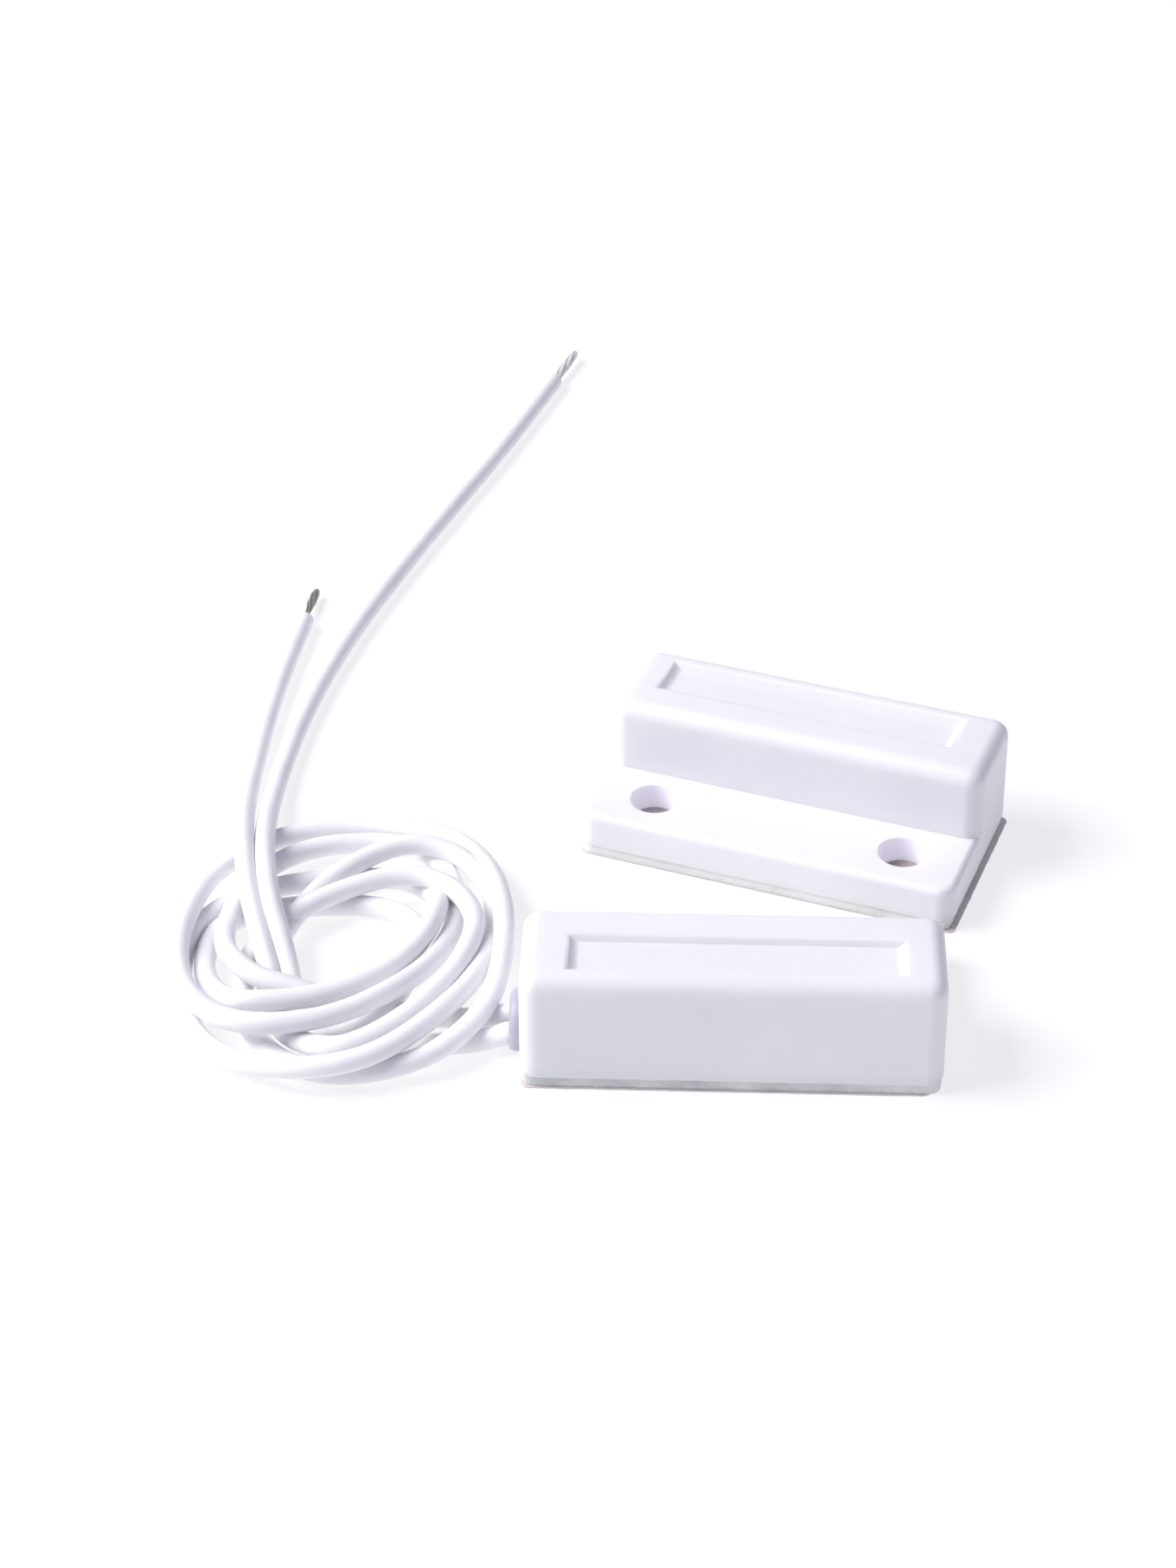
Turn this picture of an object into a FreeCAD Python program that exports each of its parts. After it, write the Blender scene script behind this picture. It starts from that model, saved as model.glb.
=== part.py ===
import FreeCAD, Part
import math
import os
from FreeCAD import Vector, Placement, Rotation

# Magnetic door contact: a switch half with its two leads and a magnet half, as laid on a table.
# Millimetres, +Z up. The origin is the middle of the switch half's underside, and +X runs along
# that half, away from the end where its leads come out.

# Both halves share one moulding: a block for the switch or the magnet, and a screw flange
body_length = 27.0
block_depth = 8.15
flange_depth = 6.35
housing_height = 7.7
flange_thickness = 2.5
end_draft = 0.22
side_draft = 0.10
corner_radius = 1.0
top_edge_radius = 0.9
flange_edge_radius = 0.45
flange_root_radius = 0.35

# Hollow under the block, open at the underside
wall = 1.15
roof = 1.35
cavity_corner_radius = 0.6

# Shallow pocket in the top, with coved ends
pocket_length = 21.5
pocket_width = 3.65
pocket_depth = 0.45
pocket_margin = 1.45
pocket_cove = 0.9

# Screw holes in the flange
hole_spacing = 18.0
hole_diameter = 3.3
hole_edge_distance = 3.45

# Adhesive foam pad and the release liner under it
liner_thickness = 0.10
tape_thickness = 0.85
tape_inset = 0.15
switch_liner_short = 0.8
magnet_liner_overhang = 0.45
liner_corner_radius = 0.4

# Reed switch inside the switch half
glass_diameter = 2.2
glass_length = 14.0
glass_wall = 0.35
glass_seal = 2.4
reed_wire_diameter = 0.55
reed_wire_length = 3.4
blade_width = 1.1
blade_thickness = 0.22
blade_gap = 0.15
blade_overlap = 1.0
reed_height = 4.0
solder_diameter = 1.7

# Bar magnet inside the magnet half
magnet_length = 19.0
magnet_width = 4.6
magnet_height = 4.2

# Leads: single-core insulated wire with stripped, tinned ends
lead_diameter = 1.45
core_diameter = 0.6
exit_spacing = 2.0
exit_offset = 0.675
exit_clearance = 0.02
strip_inside_a = 0.9
strip_inside_b = 1.8
tip_length_a = 5.4
tip_length_b = 4.4

# Arch that the leads leave by, and the bead of potting round them
arch_clearance = 0.45
arch_rise = 1.0
bead_proud = 0.8
bead_edge_radius = 0.5

# Coil: the outer shape of the loose turns, with its hole
coil_centre = (-26.0, 5.75)
coil_half_x = 11.6
coil_half_y = 14.6
coil_hole_centre = (-25.8, 5.8)
coil_hole_half_x = 4.9
coil_hole_half_y = 4.4
coil_height = 3.7
coil_top_radius = 1.1

# Where the magnet half lies: its centre on the table and its turn about +Z
magnet_half_centre = (4.22, 20.74)
magnet_half_turn = 161.4

# Worked out from the sizes above
body_depth = block_depth + flange_depth
base = liner_thickness + tape_thickness
top = base + housing_height
block_front = -body_depth / 2
block_back = block_front + block_depth
flange_back = body_depth / 2
block_middle = (block_front + block_back) / 2
half = body_length / 2
lead_radius = lead_diameter / 2
table_lead = lead_radius + exit_clearance
inner_wall = -half + wall
exit_height = base + lead_radius + exit_clearance
exit_y_a = block_middle + exit_offset - exit_spacing / 2
exit_y_b = block_middle + exit_offset + exit_spacing / 2
joint_reach = glass_length / 2 + reed_wire_length - solder_diameter / 4
lead_a_inside = -joint_reach - strip_inside_a - inner_wall
lead_b_inside = joint_reach - strip_inside_b - inner_wall

# Routes of the leads where they aren't coiled, with the table at z = 0
lead_a_exit_route = [(inner_wall, exit_y_a, exit_height), (-14.6, exit_y_a, exit_height), (-18.4, -3.9, 0.85)]
lead_b_exit_route = [(inner_wall, exit_y_b, exit_height), (-14.6, exit_y_b, exit_height), (-18.4, -1.3, 0.85)]
lead_a_tail_route = [
    (-30.8, 10.0, 2.2),
    (-32.1, 17.0, 2.0),
    (-32.7, 24.6, 0.95),
    (-31.8, 34.4, table_lead),
    (-29.7, 44.2, table_lead),
    (-26.6, 54.2, table_lead),
    (-23.1, 64.4, table_lead),
    (-19.3, 75.0, table_lead),
    (-15.85, 86.1, table_lead),
]
lead_b_tail_route = [
    (-32.4, 12.4, 2.2),
    (-33.7, 17.4, 2.0),
    (-34.4, 22.6, 1.0),
    (-34.5, 28.6, table_lead),
    (-34.4, 34.6, table_lead),
    (-33.9, 40.8, table_lead),
    (-33.2, 46.8, table_lead),
]


def rounded_outline(x0, x1, y0, y1, radius, z):
    # Closed rectangle with four quarter-round corners
    r = min(radius, 0.45 * (x1 - x0), 0.45 * (y1 - y0))
    centres = [(x1 - r, y1 - r, 0), (x0 + r, y1 - r, 90), (x0 + r, y0 + r, 180), (x1 - r, y0 + r, 270)]
    ends = []
    arcs = []
    for cx, cy, start in centres:
        arc_points = []
        for angle in (start, start + 45, start + 90):
            a = math.radians(angle)
            arc_points.append(Vector(cx + r * math.cos(a), cy + r * math.sin(a), z))
        arcs.append(Part.Arc(*arc_points).toShape())
        ends.append((arc_points[0], arc_points[2]))
    edges = []
    for i in range(4):
        edges.append(arcs[i])
        edges.append(Part.LineSegment(ends[i][1], ends[(i + 1) % 4][0]).toShape())
    return Part.Wire(edges)


def plate(x0, x1, y0, y1, radius, z0, z1):
    outline = rounded_outline(x0, x1, y0, y1, radius, z0)
    return Part.Face(outline).extrude(Vector(0, 0, z1 - z0))


def drafted_block(x0, x1, y0, y1, radius, z0, z1, draft_x, draft_y):
    # Box whose sides lean in towards its top, with the upright edges rounded
    block = Part.makeWedge(
        x0, z0, -y1, -y1 + draft_y, x0 + draft_x, x1, z1, -y0, -y0 - draft_y, x1 - draft_x
    )
    block.rotate(Vector(0, 0, 0), Vector(1, 0, 0), 90)
    uprights = [edge for edge in block.Edges if edge.BoundBox.ZLength > 0.5 * (z1 - z0)]
    return block.makeFillet(min(radius, 0.45 * (x1 - x0), 0.45 * (y1 - y0)), uprights)


def edges_at(shape, z, y_from=None):
    # Edges that lie wholly at one height, and behind a given y where one is given
    found = []
    for edge in shape.Edges:
        box = edge.BoundBox
        if abs(box.ZMin - z) > 1e-4 or abs(box.ZMax - z) > 1e-4:
            continue
        if y_from is None or edge.CenterOfMass.y > y_from:
            found.append(edge)
    return found


def pocket_cutter():
    # A bar that sinks into the top; its ends rise to the surface in coves
    y0 = block_front + pocket_margin
    floor = top - pocket_depth
    x = pocket_length / 2
    above = top + 1.0
    cove_radius = (pocket_cove ** 2 + pocket_depth ** 2) / (2 * pocket_depth)
    swing = math.asin(pocket_cove / cove_radius) / 2
    cove_mid_x = x - pocket_cove + cove_radius * math.sin(swing)
    cove_mid_z = floor + cove_radius * (1 - math.cos(swing))
    right_cove = Part.Arc(
        Vector(x - pocket_cove, y0, floor), Vector(cove_mid_x, y0, cove_mid_z), Vector(x, y0, top)
    )
    left_cove = Part.Arc(
        Vector(-x, y0, top), Vector(-cove_mid_x, y0, cove_mid_z), Vector(pocket_cove - x, y0, floor)
    )
    edges = [
        Part.LineSegment(Vector(pocket_cove - x, y0, floor), Vector(x - pocket_cove, y0, floor)).toShape(),
        right_cove.toShape(),
        Part.LineSegment(Vector(x, y0, top), Vector(x, y0, above)).toShape(),
        Part.LineSegment(Vector(x, y0, above), Vector(-x, y0, above)).toShape(),
        Part.LineSegment(Vector(-x, y0, above), Vector(-x, y0, top)).toShape(),
        left_cove.toShape(),
    ]
    return Part.Face(Part.Wire(edges)).extrude(Vector(0, pocket_width, 0))


def cavity():
    # The hollow's corners follow the draft of the block's ends
    return drafted_block(
        -half + wall, half - wall, block_front + wall, block_back - wall,
        cavity_corner_radius, base, top - roof, end_draft, side_draft,
    )


def housing():
    flange_top = base + flange_thickness
    lean = flange_thickness / housing_height
    block = drafted_block(
        -half, half, block_front, block_back, corner_radius, base, top, end_draft, side_draft
    )
    flange = drafted_block(
        -half, half, block_middle, flange_back, corner_radius, base, flange_top,
        end_draft * lean, side_draft * lean,
    )
    block = block.makeFillet(top_edge_radius, edges_at(block, top))
    body = block.fuse(flange).removeSplitter()
    body = body.makeFillet(flange_edge_radius, edges_at(body, flange_top, block_back + 0.01))
    root = [edge for edge in edges_at(body, flange_top) if edge.Length > body_length / 2]
    root = [edge for edge in root if abs(edge.CenterOfMass.y - block_back) < 2 * side_draft]
    body = body.makeFillet(flange_root_radius, root)
    body = body.cut(cavity())
    body = body.cut(pocket_cutter())
    for side in (-1, 1):
        centre = Vector(side * hole_spacing / 2, flange_back - hole_edge_distance, base)
        body = body.cut(Part.makeCylinder(hole_diameter / 2, flange_thickness, centre))
    return body


def arch(x0, x1, spread):
    # Round-topped opening for both leads, along X, standing on the housing's open underside
    y0 = min(exit_y_a, exit_y_b) - lead_radius - spread
    y1 = max(exit_y_a, exit_y_b) + lead_radius + spread
    spring = exit_height
    crown = exit_height + lead_radius + spread + arch_rise
    edges = [
        Part.LineSegment(Vector(x0, y0, base), Vector(x0, y1, base)).toShape(),
        Part.LineSegment(Vector(x0, y1, base), Vector(x0, y1, spring)).toShape(),
        Part.Arc(
            Vector(x0, y1, spring), Vector(x0, (y0 + y1) / 2, crown), Vector(x0, y0, spring)
        ).toShape(),
        Part.LineSegment(Vector(x0, y0, spring), Vector(x0, y0, base)).toShape(),
    ]
    return Part.Face(Part.Wire(edges)).extrude(Vector(x1 - x0, 0, 0))


def switch_arch():
    return arch(-half - bead_proud, inner_wall + end_draft + cavity_corner_radius, arch_clearance)


def rod(start, direction, length, diameter):
    return Part.makeCylinder(diameter / 2, length, start, direction)


def glass_envelope(diameter, length):
    # Tube with domed ends, about the reed's axis
    r = diameter / 2
    x = length / 2
    dome = 0.6 * r
    axis = Vector(0, block_middle, reed_height)
    profile = [
        Part.LineSegment(axis + Vector(-x, 0, 0), axis + Vector(x, 0, 0)).toShape(),
        Part.Arc(
            axis + Vector(x, 0, 0),
            axis + Vector(x - dome * (1 - math.cos(math.pi / 4)), 0, r * math.sin(math.pi / 4)),
            axis + Vector(x - dome, 0, r),
        ).toShape(),
        Part.LineSegment(axis + Vector(x - dome, 0, r), axis + Vector(dome - x, 0, r)).toShape(),
        Part.Arc(
            axis + Vector(dome - x, 0, r),
            axis + Vector(dome * (1 - math.cos(math.pi / 4)) - x, 0, r * math.sin(math.pi / 4)),
            axis + Vector(-x, 0, 0),
        ).toShape(),
    ]
    return Part.Face(Part.Wire(profile)).revolve(axis, Vector(1, 0, 0), 360)


def reed_blade(side):
    # Round lead outside the glass, flattened to a blade inside it; the two blades overlap with a gap
    outer = glass_length / 2 + reed_wire_length
    neck = glass_length / 2 - glass_seal
    lead = rod(
        Vector(side * neck, block_middle, reed_height), Vector(side, 0, 0), outer - neck, reed_wire_diameter
    )
    lift = side * (blade_gap + blade_thickness) / 2
    reach = neck + reed_wire_diameter / 2 + blade_overlap / 2
    start = -blade_overlap / 2 if side > 0 else blade_overlap / 2 - reach
    blade = Part.makeBox(
        reach, blade_width, blade_thickness,
        Vector(start, block_middle - blade_width / 2, reed_height + lift - blade_thickness / 2),
    )
    return lead.fuse(blade).removeSplitter()


def reed_glass(blades):
    tube = glass_envelope(glass_diameter, glass_length)
    hollow = glass_envelope(glass_diameter - 2 * glass_wall, glass_length - 2 * glass_seal)
    return tube.cut(hollow).cut(blades[0]).cut(blades[1])


def smooth_path(points):
    # Straight runs joined by tangent arcs; returns the wire and the arcs' radii
    p = [Vector(*q) for q in points]
    edges = []
    radii = []
    here = p[0]
    for i in range(1, len(p) - 1):
        before = p[i] - p[i - 1]
        after = p[i + 1] - p[i]
        turn = before.getAngle(after)
        room = 0.45 * min(before.Length, after.Length)
        radii.append(room / math.tan(turn / 2))
        before.normalize()
        after.normalize()
        enter = p[i] - before * room
        leave = p[i] + after * room
        inward = (after - before).normalize()
        to_centre = radii[-1] / math.cos(turn / 2)
        middle = p[i] + inward * (to_centre - radii[-1])
        edges.append(Part.LineSegment(here, enter).toShape())
        edges.append(Part.Arc(enter, middle, leave).toShape())
        here = leave
    edges.append(Part.LineSegment(here, p[-1]).toShape())
    return Part.Wire(edges), radii


def lead_tube(name, points):
    path, radii = smooth_path(points)
    start = Vector(*points[0])
    along = Vector(*points[1]) - start
    section = Part.Wire([Part.Circle(start, along, lead_radius).toShape()])
    tube = path.makePipeShell([section], True, True)
    expected = math.pi * lead_radius ** 2 * path.Length
    print(f"{name}: length {path.Length:.1f}, volume {tube.Volume:.2f} against {expected:.2f}")
    print("  arc radii", ", ".join(f"{r:.1f}" for r in radii))
    return tube


def oval(centre, half_x, half_y, z0, z1):
    middle = Vector(centre[0], centre[1], z0)
    along_x = middle + Vector(half_x, 0, 0)
    along_y = middle + Vector(0, half_y, 0)
    if half_x >= half_y:
        curve = Part.Ellipse(along_x, along_y, middle)
    else:
        curve = Part.Ellipse(along_y, middle - Vector(half_x, 0, 0), middle)
    return Part.Face(Part.Wire([curve.toShape()])).extrude(Vector(0, 0, z1 - z0))


def lead_coil(outline):
    # Closed ring round the loose turns, rounded over at the top
    outer = outline.makeFillet(coil_top_radius, edges_at(outline, coil_height))
    hole = oval(coil_hole_centre, coil_hole_half_x, coil_hole_half_y, 0, coil_height)
    return outer.cut(hole)


def stripped_end(route, length):
    # Bare tinned strands, in line with the insulation's last run
    end = Vector(*route[-1])
    along = (end - Vector(*route[-2])).normalize()
    return rod(end, along, length, core_diameter)


def solder_bead(side):
    return Part.makeSphere(solder_diameter / 2, Vector(side * joint_reach, block_middle, reed_height))


def inner_core(side, start):
    # Conductor from the end of the insulation up to the reed's lead
    joint = Vector(
        side * joint_reach, block_middle, reed_height - reed_wire_diameter / 2 - core_diameter / 2
    )
    along = joint - start
    return rod(start, along, along.Length, core_diameter)


def save(name, shape):
    if not shape.isValid():
        print("invalid:", name)
    if len(shape.Solids) == 1:
        shape = shape.Solids[0]
    shape.exportStep(f"parts/{name}.step")
    print(f"{name}: {len(shape.Solids)} solid, {shape.Volume:.2f} mm3")


def place_magnet_half(shape):
    # The shared moulding is modelled at the switch half's place
    turned = shape.copy()
    turned.Placement = Placement(
        Vector(magnet_half_centre[0], magnet_half_centre[1], 0),
        Rotation(Vector(0, 0, 1), magnet_half_turn),
    ).multiply(shape.Placement)
    return turned


def foam_tape():
    return plate(
        -half + tape_inset, half - tape_inset, block_front + tape_inset, flange_back - tape_inset,
        corner_radius - tape_inset, liner_thickness, base,
    )


def potting_bead():
    # Potting that fills the arch and stands a little proud of the housing's end
    bead = arch(-half - bead_proud, inner_wall + end_draft + cavity_corner_radius, arch_clearance)
    rim = [edge for edge in bead.Edges if edge.BoundBox.XMax < -half - bead_proud + 1e-4]
    rim = [edge for edge in rim if edge.BoundBox.ZMax > base + 1e-4]
    return bead.makeFillet(bead_edge_radius, rim)


def switch_half(lead_runs):
    moulding = housing().cut(switch_arch())
    save("switch_housing", moulding)

    blades = [reed_blade(-1), reed_blade(1)]
    save("reed_glass_tube", reed_glass(blades))
    save("reed_blade_left", blades[0])
    save("reed_blade_right", blades[1])

    lead_a = rod(Vector(inner_wall, exit_y_a, exit_height), Vector(1, 0, 0), lead_a_inside, lead_diameter)
    lead_b = rod(Vector(inner_wall, exit_y_b, exit_height), Vector(1, 0, 0), lead_b_inside, lead_diameter)
    core_a = inner_core(-1, Vector(inner_wall + lead_a_inside, exit_y_a, exit_height))
    core_b = inner_core(1, Vector(inner_wall + lead_b_inside, exit_y_b, exit_height))
    core_a = core_a.cut(lead_a).cut(blades[0])
    core_b = core_b.cut(lead_b).cut(blades[1])
    save("lead_a_inner", lead_a)
    save("lead_b_inner", lead_b)
    save("core_a_inner", core_a)
    save("core_b_inner", core_b)
    save("solder_joint_left", solder_bead(-1).cut(blades[0]).cut(core_a))
    save("solder_joint_right", solder_bead(1).cut(blades[1]).cut(core_b))

    filling = cavity().fuse(potting_bead().cut(moulding))
    for held in (glass_envelope(glass_diameter, glass_length), blades[0], blades[1], lead_a, lead_b,
                 core_a, core_b, solder_bead(-1), solder_bead(1), *lead_runs):
        filling = filling.cut(held)
    save("potting_compound", filling.removeSplitter())

    save("switch_foam_tape", foam_tape())
    save("switch_release_liner", plate(
        -half + tape_inset, half - switch_liner_short, block_front + tape_inset / 2,
        flange_back - tape_inset, liner_corner_radius, 0, liner_thickness,
    ))


def magnet_half():
    save("magnet_housing", place_magnet_half(housing()))
    magnet = Part.makeBox(
        magnet_length, magnet_width, magnet_height,
        Vector(-magnet_length / 2, block_middle - magnet_width / 2, top - roof - magnet_height),
    )
    save("bar_magnet", place_magnet_half(magnet))
    save("magnet_glue", place_magnet_half(cavity().cut(magnet)))
    save("magnet_foam_tape", place_magnet_half(foam_tape()))
    save("magnet_release_liner", place_magnet_half(plate(
        -half - magnet_liner_overhang, half - tape_inset, block_front + tape_inset,
        flange_back - tape_inset, liner_corner_radius, 0, liner_thickness,
    )))


def outside(outline, name, route):
    # A lead's tube without the stretch that is inside the coil's outline
    tube = lead_tube(name, route).cut(outline)
    return max(tube.Solids, key=lambda solid: solid.Volume)


def leads():
    outline = oval(coil_centre, coil_half_x, coil_half_y, 0, coil_height)
    save("lead_coil", lead_coil(outline))
    runs = [
        outside(outline, "lead_a_run", lead_a_exit_route),
        outside(outline, "lead_b_run", lead_b_exit_route),
    ]
    save("lead_a_run", runs[0])
    save("lead_b_run", runs[1])
    save("lead_a_tail", outside(outline, "lead_a_tail", lead_a_tail_route))
    save("lead_b_tail", outside(outline, "lead_b_tail", lead_b_tail_route))
    save("lead_a_tip", stripped_end(lead_a_tail_route, tip_length_a))
    save("lead_b_tip", stripped_end(lead_b_tail_route, tip_length_b))
    return runs


os.makedirs("parts", exist_ok=True)
lead_runs = leads()
switch_half(lead_runs)
magnet_half()
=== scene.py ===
import math
import bpy
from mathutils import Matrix, Quaternion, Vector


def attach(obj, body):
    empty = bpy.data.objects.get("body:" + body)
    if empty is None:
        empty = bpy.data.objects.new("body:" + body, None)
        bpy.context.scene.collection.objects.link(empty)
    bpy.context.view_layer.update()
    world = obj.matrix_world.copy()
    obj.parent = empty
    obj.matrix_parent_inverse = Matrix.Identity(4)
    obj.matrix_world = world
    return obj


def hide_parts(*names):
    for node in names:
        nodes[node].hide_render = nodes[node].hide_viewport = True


# Magnetic door contact: a switch half with two loosely coiled leads, and its magnet half.
# Lengths in the dictionaries are millimetres and angles degrees, unless a note says otherwise.
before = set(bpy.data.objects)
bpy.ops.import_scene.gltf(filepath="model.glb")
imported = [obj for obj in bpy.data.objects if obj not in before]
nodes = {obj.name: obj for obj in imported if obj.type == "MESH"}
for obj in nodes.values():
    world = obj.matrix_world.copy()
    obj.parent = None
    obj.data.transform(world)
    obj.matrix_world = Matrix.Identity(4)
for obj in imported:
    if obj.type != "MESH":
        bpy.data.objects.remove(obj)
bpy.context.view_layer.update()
mm = 0.001
print("frame loaded")


def clearSelection():
    for thing in bpy.context.selected_objects:
        thing.select_set(False)
    bpy.context.view_layer.objects.active = None


def selectOnly(piece):
    clearSelection()
    bpy.context.view_layer.objects.active = piece
    piece.select_set(True)


def bakePlace():
    # Puts the selected piece's place, turn and size into its mesh
    bpy.ops.object.transform_apply(location=True, rotation=True, scale=True)


# Camera
cameraFacts = {
    "place": (-1.56, -167.02, 136.65),
    "looking": (-0.03759, 0.81634, -0.57635),
    "roll": -0.5,
    "lens": 75.5,
    "sensor": 36.0,
    "clip": (0.01, 10.0),  # metres
}


def setCamera(facts):
    data = bpy.data.cameras.new("shotCamera")
    camera = bpy.data.objects.new("shotCamera", data)
    bpy.context.collection.objects.link(camera)
    data.lens = facts["lens"]
    data.sensor_width = facts["sensor"]
    data.clip_start, data.clip_end = facts["clip"]
    camera.location = Vector(facts["place"]) * mm
    turn = Vector(facts["looking"]).to_track_quat("-Z", "Y")
    camera.rotation_mode = "QUATERNION"
    camera.rotation_quaternion = turn @ Quaternion((0, 0, 1), math.radians(facts["roll"]))
    bpy.context.scene.camera = camera


setCamera(cameraFacts)
print("camera set")


# Materials: broad and fine are noise scales per metre, Subsurface Scale is metres
evenScatter = (1.0, 0.92, 0.94)  # white plastic scatters all colours about alike


def newMaterial(name):
    material = bpy.data.materials.new(name)
    material.use_nodes = True
    tree = material.node_tree
    tree.nodes.clear()
    shader = tree.nodes.new("ShaderNodeBsdfPrincipled")
    shader.inputs["Subsurface Radius"].default_value = evenScatter
    output = tree.nodes.new("ShaderNodeOutputMaterial")
    tree.links.new(shader.outputs["BSDF"], output.inputs["Surface"])
    return material, tree, shader


def setSockets(node, values):
    for name, value in values.items():
        node.inputs[name].default_value = value


def noiseAt(tree, scale, detail, roughness, stretch=None):
    where = tree.nodes.new("ShaderNodeTexCoord")
    noise = tree.nodes.new("ShaderNodeTexNoise")
    setSockets(noise, {"Scale": scale, "Detail": detail, "Roughness": roughness})
    if stretch:
        mapping = tree.nodes.new("ShaderNodeMapping")
        mapping.inputs["Scale"].default_value = stretch
        tree.links.new(where.outputs["Object"], mapping.inputs["Vector"])
        tree.links.new(mapping.outputs["Vector"], noise.inputs["Vector"])
    else:
        tree.links.new(where.outputs["Object"], noise.inputs["Vector"])
    return noise


def rampFrom(tree, outlet, stops):
    ramp = tree.nodes.new("ShaderNodeValToRGB")
    row = ramp.color_ramp.elements
    while len(row) < len(stops):
        row.new(0.5)
    for spot, (place, colour) in zip(row, stops):
        spot.position = place
        spot.color = (*colour, 1.0)
    tree.links.new(outlet, ramp.inputs["Fac"])
    return ramp


def rangeFrom(tree, outlet, low, high):
    # Noise seldom leaves 0.3 to 0.7, so that span covers the whole range
    spread = tree.nodes.new("ShaderNodeMapRange")
    setSockets(spread, {"From Min": 0.3, "From Max": 0.7, "To Min": low, "To Max": high})
    tree.links.new(outlet, spread.inputs["Value"])
    return spread


def bumpFrom(tree, outlet, distance, under=None):
    bump = tree.nodes.new("ShaderNodeBump")
    setSockets(bump, {"Distance": distance * mm, "Strength": 1.0})
    tree.links.new(outlet, bump.inputs["Height"])
    if under:
        tree.links.new(under.outputs["Normal"], bump.inputs["Normal"])
    return bump


def speckled(name, facts):
    # Colour, gloss and grain that wander a little over the surface
    material, tree, shader = newMaterial(name)
    setSockets(shader, facts["shader"])
    broad = noiseAt(tree, facts["broad"], 3.0, 0.5, stretch=facts.get("stretch"))
    colour = rampFrom(tree, broad.outputs["Fac"], [(0.3, facts["dark"]), (0.7, facts["light"])])
    tree.links.new(colour.outputs["Color"], shader.inputs["Base Color"])
    fine = noiseAt(tree, facts["fine"], 4.0, 0.6, stretch=facts.get("stretch"))
    gloss = rangeFrom(tree, fine.outputs["Fac"], *facts["gloss"])
    tree.links.new(gloss.outputs["Result"], shader.inputs["Roughness"])
    grain = bumpFrom(tree, fine.outputs["Fac"], facts["grain"])
    swell = bumpFrom(tree, broad.outputs["Fac"], facts["swell"], grain)
    tree.links.new(swell.outputs["Normal"], shader.inputs["Normal"])
    return material


whiteShell = speckled("whiteShell", {
    "dark": (0.81, 0.80, 0.84), "light": (0.86, 0.85, 0.88), "broad": 90.0, "fine": 2600.0,
    "gloss": (0.34, 0.46), "grain": 0.012, "swell": 0.02,
    "shader": {"IOR": 1.48, "Subsurface Weight": 0.4, "Subsurface Scale": 0.0015},
})
wireJacket = speckled("wireJacket", {
    "dark": (0.84, 0.83, 0.86), "light": (0.90, 0.89, 0.91), "broad": 220.0, "fine": 1800.0,
    "gloss": (0.30, 0.44), "grain": 0.01, "swell": 0.03,
    "shader": {"IOR": 1.5, "Subsurface Weight": 0.35, "Subsurface Scale": 0.001},
})
# Hole walls: a darker lilac base colour with a painted glow (emission), standing in for the light and
# shade on the walls round the holes
holeWallPaintedGlow = speckled("holeWallPaintedGlow", {
    "dark": (0.60, 0.58, 0.66), "light": (0.66, 0.64, 0.72), "broad": 300.0, "fine": 2600.0,
    "gloss": (0.5, 0.6), "grain": 0.01, "swell": 0.01,
    "shader": {"IOR": 1.48, "Subsurface Weight": 0.3, "Subsurface Scale": 0.0015,
               "Emission Color": (0.92, 0.88, 1.0, 1.0), "Emission Strength": 0.3},
})
greyFoam = speckled("greyFoam", {
    "dark": (0.60, 0.60, 0.61), "light": (0.84, 0.83, 0.84), "broad": 260.0, "fine": 2400.0,
    "gloss": (0.55, 0.8), "grain": 0.10, "swell": 0.10,
    "shader": {"IOR": 1.45, "Subsurface Weight": 0.3, "Subsurface Scale": 0.001},
})
palePad = speckled("palePad", {
    "dark": (0.75, 0.74, 0.73), "light": (0.89, 0.88, 0.88), "broad": 260.0, "fine": 2400.0,
    "gloss": (0.5, 0.8), "grain": 0.08, "swell": 0.10,
    "shader": {"IOR": 1.45, "Subsurface Weight": 0.4, "Subsurface Scale": 0.001},
})
# Dark brown foam for the pad's bulges into the screw holes: painted shade at the bottoms of the holes
holeFoamPaintedShade = speckled("holeFoamPaintedShade", {
    "dark": (0.26, 0.21, 0.21), "light": (0.40, 0.35, 0.34), "broad": 700.0, "fine": 2400.0,
    "gloss": (0.6, 0.85), "grain": 0.05, "swell": 0.05, "shader": {"IOR": 1.45},
})
waxedPaper = speckled("waxedPaper", {
    "dark": (0.58, 0.52, 0.50), "light": (0.70, 0.65, 0.63), "broad": 300.0, "fine": 3000.0,
    "gloss": (0.3, 0.5), "grain": 0.01, "swell": 0.05,
    "shader": {"IOR": 1.5, "Coat Weight": 0.2, "Coat Roughness": 0.2},
})
# Dark lilac resin colour: painted shade, for the potting bead that sits in the coil's shadow
resinPaintedShade = speckled("resinPaintedShade", {
    "dark": (0.40, 0.38, 0.47), "light": (0.52, 0.50, 0.59), "broad": 400.0, "fine": 1500.0,
    "gloss": (0.35, 0.55), "grain": 0.02, "swell": 0.06,
    "shader": {"IOR": 1.5, "Subsurface Weight": 0.2, "Subsurface Scale": 0.0015},
})
brightTin = speckled("brightTin", {
    "dark": (0.80, 0.80, 0.77), "light": (0.95, 0.95, 0.93), "broad": 900.0, "fine": 5000.0,
    "gloss": (0.4, 0.6), "grain": 0.008, "swell": 0.02,
    "shader": {"Metallic": 0.35},
})
dullTin = speckled("dullTin", {
    "dark": (0.33, 0.33, 0.27), "light": (0.54, 0.53, 0.46), "broad": 900.0, "fine": 5000.0,
    "gloss": (0.35, 0.55), "grain": 0.008, "swell": 0.02,
    "shader": {"Metallic": 0.8},
})
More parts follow.
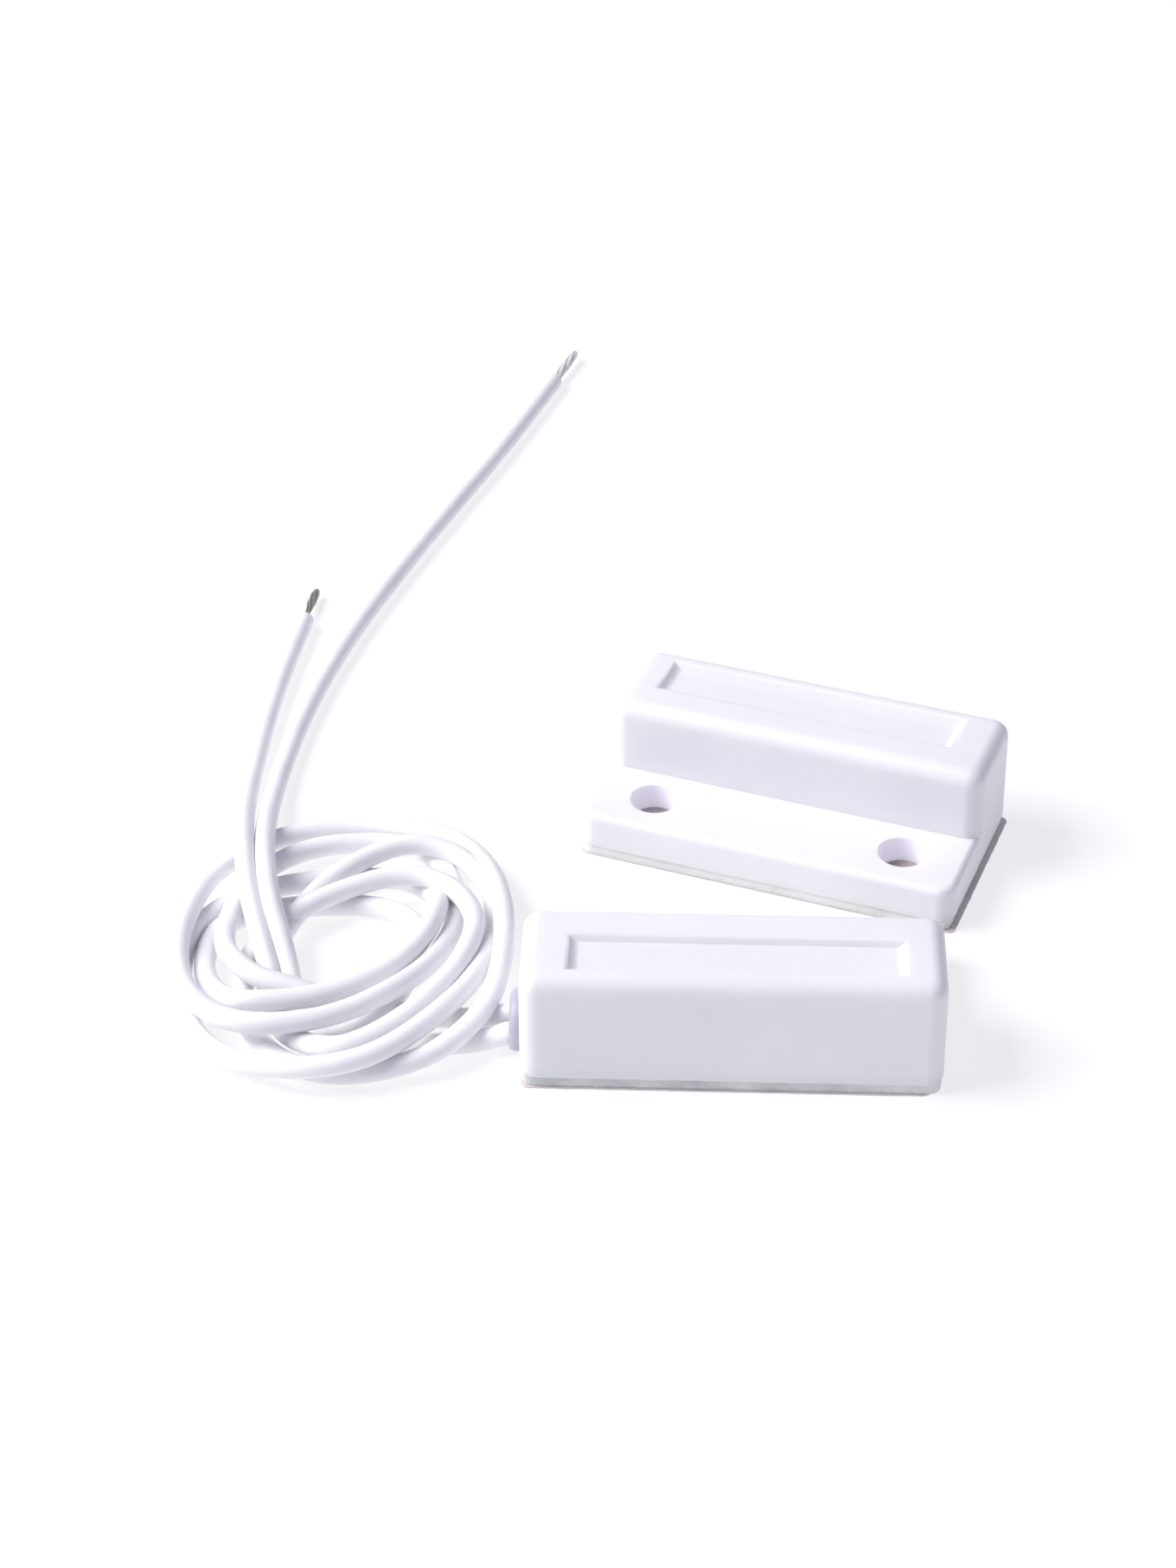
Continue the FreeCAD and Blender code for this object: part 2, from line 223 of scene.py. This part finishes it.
reedAlloy = speckled("reedAlloy", {
    "dark": (0.52, 0.50, 0.46), "light": (0.64, 0.62, 0.57), "broad": 500.0, "fine": 6000.0,
    "gloss": (0.25, 0.4), "grain": 0.004, "swell": 0.01, "stretch": (0.1, 1.0, 1.0),
    "shader": {"Metallic": 1.0},
})
softSolder = speckled("softSolder", {
    "dark": (0.50, 0.51, 0.53), "light": (0.68, 0.69, 0.71), "broad": 700.0, "fine": 3000.0,
    "gloss": (0.3, 0.55), "grain": 0.02, "swell": 0.08,
    "shader": {"Metallic": 1.0},
})
sinteredMagnet = speckled("sinteredMagnet", {
    "dark": (0.10, 0.10, 0.11), "light": (0.19, 0.19, 0.20), "broad": 800.0, "fine": 5000.0,
    "gloss": (0.45, 0.7), "grain": 0.03, "swell": 0.03,
    "shader": {"Metallic": 0.3},
})
tubeGlass = speckled("tubeGlass", {
    "dark": (0.86, 0.93, 0.90), "light": (0.94, 0.98, 0.96), "broad": 200.0, "fine": 1500.0,
    "gloss": (0.02, 0.06), "grain": 0.002, "swell": 0.01,
    "shader": {"IOR": 1.5, "Transmission Weight": 0.9},
})
print("materials mixed")


def paint(piece, material):
    piece.data.materials.clear()
    piece.data.materials.append(material)


# Leads: loose turns wound by hand, each lead in one piece from the housing to its stripped end
leadDiameter = 1.45
longLead = {
    "name": "longLead",
    "exit": [
        (-12.35, -3.5, 1.695), (-14.0, -3.5, 1.695), (-15.4, -3.55, 1.05), (-16.9, -3.7, 0.75),
        (-19.4, -4.0, 0.75),
    ],
    # front, left, back and right of each turn: x, y, height, height half way to the next, bow
    "turns": [
        (-24.0, -4.3, 0.75, 0.75, 0.9), (-30.9, 3.6, 0.75, 2.0, 1.25), (-22.0, 16.1, 2.2, 1.5, 0.88),
        (-15.9, 8.0, 0.8, 2.8, 1.03), (-26.1, -8.4, 2.25, 0.9, 0.88), (-36.8, 5.0, 0.75, 0.75, 0.88),
        (-24.0, 13.9, 0.75, 0.75, 0.86), (-19.8, 8.6, 2.2, 2.3, 1.08), (-31.0, -2.6, 2.9, 2.3, 0.88),
        (-35.2, 6.0, 0.75, 0.75, 0.88), (-26.0, 10.7, 0.75, 0.75, 0.88), (-21.0, 7.0, 0.75, 1.3, 0.92),
        (-24.6, -2.6, 0.75, 0.75, 0.88),
    ],
    "tail": [
        (-27.0, -2.2, 0.8), (-28.6, -0.2, 0.9), (-29.15, 2.2, 1.3), (-30.0, 5.0, 2.1),
        (-31.3, 8.6, 3.4), (-32.0, 12.6, 3.6), (-32.5, 16.8, 2.6), (-32.8, 21.2, 1.2),
        (-32.7, 26.0, 0.745), (-31.8, 34.4, 0.745), (-29.7, 44.2, 0.745), (-26.6, 54.2, 0.745),
        (-23.1, 64.4, 0.745), (-19.3, 75.0, 0.745), (-15.85, 86.1, 0.745),
    ],
    "length": 267.1,
}
shortLead = {
    "name": "shortLead",
    "exit": [
        (-12.35, -1.5, 1.695), (-14.0, -1.5, 1.695), (-15.4, -1.45, 1.05), (-16.9, -1.35, 0.75),
        (-19.4, -1.1, 0.75), (-22.0, -0.8, 0.75), (-25.2, -0.7, 0.9),
    ],
    "turns": [
        (-28.6, -0.2, 2.3, 2.8, 0.88), (-34.0, 6.5, 1.9, 1.2, 0.88), (-24.5, 18.0, 0.75, 0.75, 0.88),
        (-18.6, 9.0, 0.8, 2.7, 1.03), (-30.0, -5.2, 3.1, 2.9, 0.88), (-36.9, 6.0, 2.2, 1.3, 0.88),
        (-25.0, 19.7, 0.75, 1.7, 0.88), (-15.0, 4.6, 2.3, 2.1, 0.78), (-24.5, -7.3, 0.75, 0.75, 0.88),
        (-32.5, 3.5, 0.75, 1.9, 1.3), (-22.3, 12.3, 2.3, 2.3, 1.06), (-17.1, 6.5, 2.2, 2.2, 1.24),
        (-25.8, -6.3, 2.0, 1.2, 0.88),
    ],
    "tail": [
        (-29.4, -3.6, 1.2), (-30.0, 0.6, 1.3), (-31.4, 5.0, 2.1), (-32.8, 9.4, 3.4), (-33.5, 13.4, 3.6),
        (-34.1, 17.6, 2.6), (-34.6, 22.4, 1.1), (-34.6, 28.6, 0.745), (-34.4, 34.6, 0.745),
        (-33.9, 40.8, 0.745), (-33.2, 46.8, 0.745),
    ],
    "length": 255.9,
}


def eased(first, last, share):
    return first + (last - first) * (1 - math.cos(math.pi * share)) / 2


def windTurns(stations, steps=4):
    points = []
    for i in range(len(stations) - 1):
        x0, y0, z0, zHalf, bow = stations[i]
        x1, y1, z1 = stations[i + 1][:3]
        for k in range(steps):
            share = k / steps
            s = math.sin(math.pi / 2 * share) ** bow
            c = math.cos(math.pi / 2 * share) ** bow
            if i % 2 == 0:  # from the front or the back to a side
                x, y = x0 + (x1 - x0) * s, y1 + (y0 - y1) * c
            else:
                x, y = x1 + (x0 - x1) * c, y0 + (y1 - y0) * s
            z = eased(z0, zHalf, 2 * share) if share < 0.5 else eased(zHalf, z1, 2 * share - 1)
            points.append((x, y, z))
    points.append(stations[-1][:3])
    return points


def layLead(facts, material, replaced):
    points = facts["exit"] + windTurns(facts["turns"]) + facts["tail"]
    data = bpy.data.curves.new(facts["name"], "CURVE")
    data.dimensions = "3D"
    spline = data.splines.new("NURBS")
    spline.points.add(len(points) - 1)
    for spot, place in zip(spline.points, points):
        spot.co = (*(Vector(place) * mm), 1.0)
    spline.order_u = 3
    spline.use_endpoint_u = True
    data.resolution_u = 6
    data.bevel_depth = leadDiameter / 2 * mm
    data.bevel_resolution = 6
    data.use_fill_caps = True
    lead = bpy.data.objects.new(facts["name"], data)
    bpy.context.collection.objects.link(lead)
    paint(lead, material)
    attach(lead, "root")
    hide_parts(*replaced)
    return lead


longWire = layLead(longLead, wireJacket, ["lead_a_run", "lead_a_tail", "lead_coil"])
shortWire = layLead(shortLead, wireJacket, ["lead_b_run", "lead_b_tail"])
print("leads laid")


# Stripped ends: tinned strands, twisted a little
shortTip = {
    "name": "shortTip", "start": shortLead["tail"][-1], "before": shortLead["tail"][-2],
    "length": 4.4, "buried": 0.6, "strand": 0.12, "steps": 12, "twist": 14.0, "lean": 0.035,
    "swell": (0.4, 0.66, 1.12, 1.0), "end": 0.75,
}
longTip = {
    "name": "longTip", "start": longLead["tail"][-1], "before": longLead["tail"][-2],
    "length": 5.4, "buried": 0.6, "strand": 0.135, "steps": 14, "twist": 12.0, "lean": -0.01,
    "swell": (1.0, 1.15, 1.15, 0.85), "end": 0.75,
}
strandsApart = 1.72  # from the middle strand to the six round it, in strand radii


def stripEnd(facts, material, replaced):
    clearSelection()
    rings = []
    for k in range(7):  # one strand in the middle and six round it
        reach = 0 if k == 0 else strandsApart * facts["strand"]
        a = math.radians(60 * k)
        bpy.ops.mesh.primitive_circle_add(
            vertices=10, radius=facts["strand"] * mm, fill_type="NGON",
            location=(reach * math.cos(a) * mm, reach * math.sin(a) * mm, -facts["buried"] * mm))
        rings.append(bpy.context.object)
    for ring in rings:
        ring.select_set(True)
    bpy.ops.object.join()
    tip = bpy.context.object
    tip.name = facts["name"]
    bakePlace()
    bpy.ops.object.mode_set(mode="EDIT")
    bpy.ops.mesh.select_all(action="SELECT")
    step = (facts["length"] + facts["buried"]) / facts["steps"]
    swell = facts["swell"]
    wide = 1.0
    for k in range(facts["steps"]):
        bpy.ops.mesh.extrude_region_move(
            TRANSFORM_OT_translate={"value": (facts["lean"] * k / facts["steps"] * mm, 0, step * mm)})
        bpy.ops.transform.rotate(
            value=math.radians(facts["twist"]), orient_axis="Z", center_override=(0, 0, 0))
        # The bundle swells and narrows along its length
        reach = (k + 1) / facts["steps"] * (len(swell) - 1)
        part = min(int(reach), len(swell) - 2)
        nowWide = swell[part] + (swell[part + 1] - swell[part]) * (reach - part)
        bpy.ops.transform.resize(value=(nowWide / wide, nowWide / wide, 1.0), center_override=(0, 0, 0))
        wide = nowWide
    bpy.ops.transform.resize(value=(facts["end"], facts["end"], 1.0), center_override=(0, 0, 0))
    bpy.ops.mesh.select_all(action="SELECT")
    bpy.ops.mesh.normals_make_consistent(inside=False)
    bpy.ops.object.mode_set(mode="OBJECT")
    along = Vector(facts["start"]) - Vector(facts["before"])
    tip.rotation_mode = "QUATERNION"
    tip.rotation_quaternion = along.to_track_quat("Z", "Y")
    tip.location = Vector(facts["start"]) * mm
    bakePlace()
    bpy.ops.object.shade_smooth_by_angle(angle=math.radians(50))
    paint(tip, material)
    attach(tip, "root")
    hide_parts(replaced)
    return tip


shortEnd = stripEnd(shortTip, dullTin, "lead_b_tip")
longEnd = stripEnd(longTip, brightTin, "lead_a_tip")
print("ends stripped")


# Moulded housing, the same for both halves
housingFacts = {
    "half": 13.5, "front": -7.25, "back": 0.9, "flangeBack": 7.25,
    "bottom": 0.95, "top": 8.65, "flangeTop": 3.45, "endDraft": 0.03, "sideDraft": 0.10,
    "corner": 1.2, "topEdge": 1.05, "flangeEdge": 0.5, "root": 0.4,
    "wall": 1.15, "roof": 1.35, "cavityCorner": 0.6,
    "blockBelow": 0.3, "flangeBelow": 0.2, "flangeIn": 0.002,
    "cutBelow": 0.5, "pocketAbove": 1.0, "holeCut": 6.0, "glowReach": 0.03,
    "pocket": (-10.5, 11.0, -5.8, -2.15), "pocketSlope": 0.3, "pocketDepth": 0.45,
    "cove": 0.45, "coveRound": 0.3, "longRound": 0.3,
    "holeAcross": 9.0, "holeY": 3.8, "holeRadius": 1.65,
    "pocketLip": 0.2, "holeLip": 0.1,
    "archY": -2.5, "archZ": 1.695, "archRadius": 2.175, "archEnd": -11.53,
    "magnetPlace": (4.22, 20.74), "magnetTurn": 161.4,
}
near = 0.01  # how close counts as the same place
nearCut = 0.02  # the same, for edges that a cut has made
longEdge = 5.0  # longer than any edge of a rounded corner


def pick(piece, kind, test):
    # Selects faces by centre and normal, or edges and points by their ends, in edit mode
    bpy.ops.object.mode_set(mode="OBJECT")
    mesh = piece.data
    for group in (mesh.vertices, mesh.edges, mesh.polygons):
        for part in group:
            part.select = False
    if kind == "FACE":
        for face in mesh.polygons:
            face.select = test(face.center, face.normal)
    elif kind == "EDGE":
        for edge in mesh.edges:
            edge.select = test(*(mesh.vertices[i].co for i in edge.vertices))
    else:
        for point in mesh.vertices:
            point.select = test(point.co)
    bpy.context.tool_settings.mesh_select_mode = (kind == "VERT", kind == "EDGE", kind == "FACE")
    bpy.ops.object.mode_set(mode="EDIT")


def facesUp(centre, normal):
    return normal.z > 0.9


def facesDown(centre, normal):
    return normal.z < -0.9


def anyFace(centre, normal):
    return True


def startBox(x0, x1, y0, y1, z0, z1):
    # Worked in millimetres; finishPiece brings a piece to metres
    clearSelection()
    bpy.ops.mesh.primitive_cube_add(
        size=1, location=((x0 + x1) / 2, (y0 + y1) / 2, (z0 + z1) / 2),
        scale=(x1 - x0, y1 - y0, z1 - z0))
    bakePlace()
    return bpy.context.object


def draftedBox(x0, x1, y0, y1, z0, z1, draftX, draftY, corner, topEdge, segments=8):
    box = startBox(x0, x1, y0, y1, z0, z1)
    pick(box, "FACE", facesUp)
    bpy.ops.transform.resize(
        value=(1 - 2 * draftX / (x1 - x0), 1 - 2 * draftY / (y1 - y0), 1),
        center_override=((x0 + x1) / 2, (y0 + y1) / 2, z1))
    pick(box, "EDGE", lambda a, b: abs(a.z - b.z) > (z1 - z0) / 2)
    bpy.ops.mesh.bevel(offset=corner, segments=segments, affect="EDGES")
    if topEdge:
        pick(box, "FACE", facesUp)
        bpy.ops.mesh.bevel(offset=topEdge, segments=segments, affect="EDGES")
    bpy.ops.object.mode_set(mode="OBJECT")
    return box


def carve(piece, tool, operation="DIFFERENCE"):
    cut = piece.modifiers.new("cut", "BOOLEAN")
    cut.object = tool
    cut.operation = operation
    cut.solver = "EXACT"
    selectOnly(piece)
    bpy.ops.object.modifier_apply(modifier="cut")
    bpy.data.objects.remove(tool, do_unlink=True)


def soften(piece, test, offset, segments):
    pick(piece, "EDGE", test)
    bpy.ops.mesh.bevel(offset=offset, segments=segments, affect="EDGES", clamp_overlap=True)
    bpy.ops.object.mode_set(mode="OBJECT")


def mouldHousing(f):
    half, bottom, top, flangeTop = f["half"], f["bottom"], f["top"], f["flangeTop"]
    lean = (flangeTop - bottom) / (top - bottom)
    block = draftedBox(-half, half, f["front"], f["back"], bottom - f["blockBelow"], top,
                       f["endDraft"], f["sideDraft"], f["corner"], f["topEdge"])
    middle = (f["front"] + f["back"]) / 2
    inside = half - f["flangeIn"]
    flange = draftedBox(-inside, inside, middle, f["flangeBack"],
                        bottom - f["flangeBelow"], flangeTop,
                        f["endDraft"] * lean, f["sideDraft"] * lean, f["corner"], f["flangeEdge"])
    carve(block, flange, "UNION")
    pick(block, "FACE", anyFace)
    bpy.ops.mesh.bisect(plane_co=(0, 0, bottom), plane_no=(0, 0, 1), clear_inner=True, use_fill=True)
    bpy.ops.object.mode_set(mode="OBJECT")
    backAt = f["back"] - f["sideDraft"] * lean
    soften(block, lambda a, b: abs(a.z - flangeTop) < near and abs(b.z - flangeTop) < near
           and abs(a.y - backAt) < nearCut and abs(b.y - backAt) < nearCut
           and abs(a.x - b.x) > longEdge, f["root"], segments=5)
    wall = f["wall"]
    carve(block, draftedBox(-half + wall, half - wall, f["front"] + wall, f["back"] - wall,
                            bottom - f["cutBelow"], top - f["roof"], f["endDraft"], f["sideDraft"],
                            f["cavityCorner"], 0, segments=5))
    x0, x1, y0, y1 = f["pocket"]
    floorAt = top - f["pocketDepth"]
    tool = startBox(x0, x1, y0, y1, floorAt, top)
    pick(tool, "FACE", facesDown)
    bpy.ops.transform.resize(
        value=(1 - 2 * f["cove"] / (x1 - x0), 1 - 2 * f["pocketSlope"] / (y1 - y0), 1),
        center_override=((x0 + x1) / 2, (y0 + y1) / 2, floorAt))
    pick(tool, "FACE", facesUp)
    bpy.ops.mesh.extrude_region_move(TRANSFORM_OT_translate={"value": (0, 0, f["pocketAbove"])})
    soften(tool, lambda a, b: abs(a.z - floorAt) < near and abs(b.z - floorAt) < near
           and abs(a.x - b.x) < near, f["coveRound"], segments=6)
    soften(tool, lambda a, b: abs(a.z - floorAt) < near and abs(b.z - floorAt) < near
           and abs(a.y - b.y) < near and abs(a.x - b.x) > longEdge, f["longRound"], segments=6)
    carve(block, tool)
    for side in (-1, 1):
        clearSelection()
        bpy.ops.mesh.primitive_cylinder_add(
            vertices=64, radius=f["holeRadius"], depth=f["holeCut"],
            location=(side * f["holeAcross"], f["holeY"], flangeTop))
        carve(block, bpy.context.object)
    # Soft lips of the pocket and the holes
    soften(block, lambda a, b: min(a.z, b.z) > top - near
           and all(x0 - nearCut < p.x < x1 + nearCut and y0 - nearCut < p.y < y1 + nearCut
                   for p in (a, b)), f["pocketLip"], segments=3)
    soften(block, lambda a, b: all(
        abs(p.z - flangeTop) < near
        and abs(math.hypot(abs(p.x) - f["holeAcross"], p.y - f["holeY"]) - f["holeRadius"]) < nearCut
        for p in (a, b)), f["holeLip"], segments=3)
    return block


def finishPiece(piece, name, material, replaced, angle=35):
    # Brings a piece to metres and settles its shading, finish and place in the frame
    selectOnly(piece)
    piece.scale = (mm, mm, mm)
    bakePlace()
    bpy.ops.object.shade_smooth_by_angle(angle=math.radians(angle))
    weigh = piece.modifiers.new("weigh", "WEIGHTED_NORMAL")
    weigh.keep_sharp = True
    bpy.ops.object.modifier_apply(modifier="weigh")
    piece.name = name
    paint(piece, material)
    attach(piece, "root")
    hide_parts(*replaced)
    clearSelection()


def placeMagnetHalf(piece, facts):
    selectOnly(piece)
    piece.rotation_euler = (0, 0, math.radians(facts["magnetTurn"]))
    piece.location = (*facts["magnetPlace"], 0)
    bakePlace()


moulding = mouldHousing(housingFacts)
magnetShell = moulding.copy()
magnetShell.data = moulding.data.copy()
bpy.context.collection.objects.link(magnetShell)
placeMagnetHalf(magnetShell, housingFacts)


def openArch(piece, f, depth=4.0):
    # Arch for the leads, through the switch half's left end
    clearSelection()
    bpy.ops.mesh.primitive_cylinder_add(
        vertices=72, radius=f["archRadius"], depth=depth, rotation=(0, math.pi / 2, 0),
        location=(f["archEnd"] - depth / 2, f["archY"], f["archZ"]))
    bakePlace()
    carve(piece, bpy.context.object)
    carve(piece, startBox(f["archEnd"] - depth, f["archEnd"], f["archY"] - f["archRadius"],
                          f["archY"] + f["archRadius"], f["bottom"] - f["cutBelow"], f["archZ"]))


openArch(moulding, housingFacts)
finishPiece(moulding, "switchShell", whiteShell, ["switch_housing"])
finishPiece(magnetShell, "magnetShell", whiteShell, ["magnet_housing"])


def turned(x, y, facts):
    # A place on the magnet half, as it lies on the table
    a = math.radians(facts["magnetTurn"])
    return (facts["magnetPlace"][0] + x * math.cos(a) - y * math.sin(a),
            facts["magnetPlace"][1] + x * math.sin(a) + y * math.cos(a))


def paintHoleWallGlow(piece, centres, facts):
    # The wall round each hole gets a darker lilac colour with a painted glow (emission): painted light
    # and shade on the hole walls
    piece.data.materials.append(holeWallPaintedGlow)
    pick(piece, "FACE", lambda centre, normal: abs(normal.z) < 0.5 and any(
        math.hypot(centre.x / mm - x, centre.y / mm - y) < facts["holeRadius"] + facts["glowReach"]
        for x, y in centres))
    piece.active_material_index = 1
    bpy.ops.object.material_slot_assign()
    bpy.ops.object.mode_set(mode="OBJECT")


holeCentres = [(side * housingFacts["holeAcross"], housingFacts["holeY"]) for side in (-1, 1)]
for piece, centres in ((moulding, holeCentres),
                       (magnetShell, [turned(x, y, housingFacts) for x, y in holeCentres])):
    selectOnly(piece)
    paintHoleWallGlow(piece, centres, housingFacts)
print("housings moulded")


# Foam pads and release liners under the halves
padFacts = {
    "inset": 0.15, "top": 0.95, "bottom": 0.10, "corner": 0.8, "cuts": 64, "rows": (0.3, 0.55, 0.78),
    "ragged": 0.07, "plugRadius": 1.62, "plugBottom": 0.9, "plugTop": 1.65, "plugRound": 0.15,
    "linerThick": 0.1, "linerCorner": 0.5, "linerCuts": 48, "linerRagged": 0.03,
    "switchLiner": (-13.4, 12.7, -7.2, 7.1), "magnetLiner": (-13.72, 13.35, -7.1, 7.1),
}


def padUnder(facts, f, seed):
    inset = facts["inset"]
    pad = startBox(inset - f["half"], f["half"] - inset, f["front"] + inset, f["flangeBack"] - inset,
                   facts["bottom"], facts["top"])
    pick(pad, "EDGE", lambda a, b: abs(a.z - b.z) > 0.5)
    bpy.ops.mesh.bevel(offset=facts["corner"], segments=5, affect="EDGES")
    pick(pad, "EDGE", lambda a, b: abs(a.z - b.z) < near and (a - b).length > longEdge)
    bpy.ops.mesh.subdivide(number_cuts=facts["cuts"])
    for height in facts["rows"]:
        pick(pad, "FACE", anyFace)
        bpy.ops.mesh.bisect(plane_co=(0, 0, height), plane_no=(0, 0, 1))
    pick(pad, "VERT", lambda point: facts["bottom"] + near < point.z < facts["top"] - near)
    bpy.ops.transform.vertex_random(offset=facts["ragged"], seed=seed)
    bpy.ops.object.mode_set(mode="OBJECT")
    return pad


def plugsUnder(facts, f):
    # The pad bulges a little into the screw holes
    clearSelection()
    plugs = []
    for side in (-1, 1):
        bpy.ops.mesh.primitive_cylinder_add(
            vertices=40, radius=facts["plugRadius"], depth=facts["plugTop"] - facts["plugBottom"],
            location=(side * f["holeAcross"], f["holeY"], (facts["plugTop"] + facts["plugBottom"]) / 2))
        plugs.append(bpy.context.object)
    for plug in plugs:
        plug.select_set(True)
    bpy.ops.object.join()
    both = bpy.context.object
    bakePlace()
    pick(both, "EDGE", lambda a, b: min(a.z, b.z) > facts["plugTop"] - near)
    bpy.ops.mesh.bevel(offset=facts["plugRound"], segments=3, affect="EDGES")
    bpy.ops.object.mode_set(mode="OBJECT")
    return both


def linerUnder(facts, half, seed):
    thick = facts["linerThick"]
    liner = startBox(*facts[half + "Liner"], 0.0, thick)
    pick(liner, "EDGE", lambda a, b: abs(a.z - b.z) > thick / 2)
    bpy.ops.mesh.bevel(offset=facts["linerCorner"], segments=4, affect="EDGES")
    pick(liner, "EDGE", lambda a, b: abs(a.z - b.z) < near and (a - b).length > longEdge)
    bpy.ops.mesh.subdivide(number_cuts=facts["linerCuts"])
    pick(liner, "VERT", lambda point: True)
    bpy.ops.transform.vertex_random(offset=facts["linerRagged"], seed=seed)
    bpy.ops.transform.resize(value=(1, 1, 0.9), center_override=(0, 0, thick / 2))
    # The underside goes flat on the table again
    pick(liner, "VERT", lambda point: point.z < thick / 2)
    bpy.ops.transform.resize(value=(1, 1, 0), center_override=(0, 0, 0.0))
    bpy.ops.object.mode_set(mode="OBJECT")
    return liner


for half, seed in (("switch", 3), ("magnet", 8)):
    for part, piece, material, slotName, node in (
        ("Pad", padUnder(padFacts, housingFacts, seed), palePad if half == "magnet" else greyFoam,
         "foam_tape", "foam_tape"),
        ("Plugs", plugsUnder(padFacts, housingFacts), holeFoamPaintedShade, "foam_tape", "foam_tape"),
        ("Liner", linerUnder(padFacts, half, seed), waxedPaper, "liner", "release_liner"),
    ):
        if half == "magnet":
            placeMagnetHalf(piece, housingFacts)
        finishPiece(piece, half + part, material, [half + "_" + node], 40)
print("pads and liners cut")


# Finishes of the resin and of the parts hidden inside
for name, material in {
    "potting_compound": resinPaintedShade, "magnet_glue": resinPaintedShade,
    "reed_glass_tube": tubeGlass, "reed_blade_left": reedAlloy, "reed_blade_right": reedAlloy,
    "solder_joint_left": softSolder, "solder_joint_right": softSolder,
    "bar_magnet": sinteredMagnet,
    "lead_a_inner": wireJacket, "lead_b_inner": wireJacket,
    "core_a_inner": brightTin, "core_b_inner": brightTin,
}.items():
    paint(nodes[name], material)
print("finishes applied")


# Floor
floorFacts = {"size": 8000.0, "below": 0.02}


def layFloor(facts):
    clearSelection()
    bpy.ops.mesh.primitive_plane_add(size=facts["size"] * mm, location=(0, 0, -facts["below"] * mm))
    floor = bpy.context.object
    floor.name = "paleFloor"
    bakePlace()
    paint(floor, speckled("paleFloorPaint", {
        "dark": (0.33, 0.33, 0.34), "light": (0.35, 0.35, 0.36), "broad": 8.0, "fine": 400.0,
        "gloss": (0.7, 0.8), "grain": 0.002, "swell": 0.0,
        "shader": {"IOR": 1.4, "Emission Color": (1.0, 1.0, 1.0, 1.0), "Emission Strength": 0.69},
    }))


layFloor(floorFacts)


# Studio light: one large soft source high on the left, under an even sky
lightFacts = {
    "name": "keyLight", "place": (-440.0, 0.0, 440.0), "aim": (-10.0, 15.0, 0.0), "size": 380.0,
    "power": 4.95, "tint": (1.0, 0.985, 0.95),
}
skyFacts = {"tint": (0.31, 0.32, 0.41), "strength": 1.0}


def hangLight(facts):
    data = bpy.data.lights.new(facts["name"], "AREA")
    data.shape = "SQUARE"
    data.size = facts["size"] * mm
    data.energy = facts["power"]
    data.color = facts["tint"]
    light = bpy.data.objects.new(facts["name"], data)
    bpy.context.collection.objects.link(light)
    light.location = Vector(facts["place"]) * mm
    aim = Vector(facts["aim"]) - Vector(facts["place"])
    light.rotation_mode = "QUATERNION"
    light.rotation_quaternion = aim.to_track_quat("-Z", "Y")


hangLight(lightFacts)
world = bpy.data.worlds.new("studioWorld")
world.use_nodes = True
sky = world.node_tree.nodes["Background"]
sky.inputs["Color"].default_value = (*skyFacts["tint"], 1.0)
sky.inputs["Strength"].default_value = skyFacts["strength"]
bpy.context.scene.world = world
bpy.context.scene.view_settings.view_transform = "Standard"
print("floor and light ready")
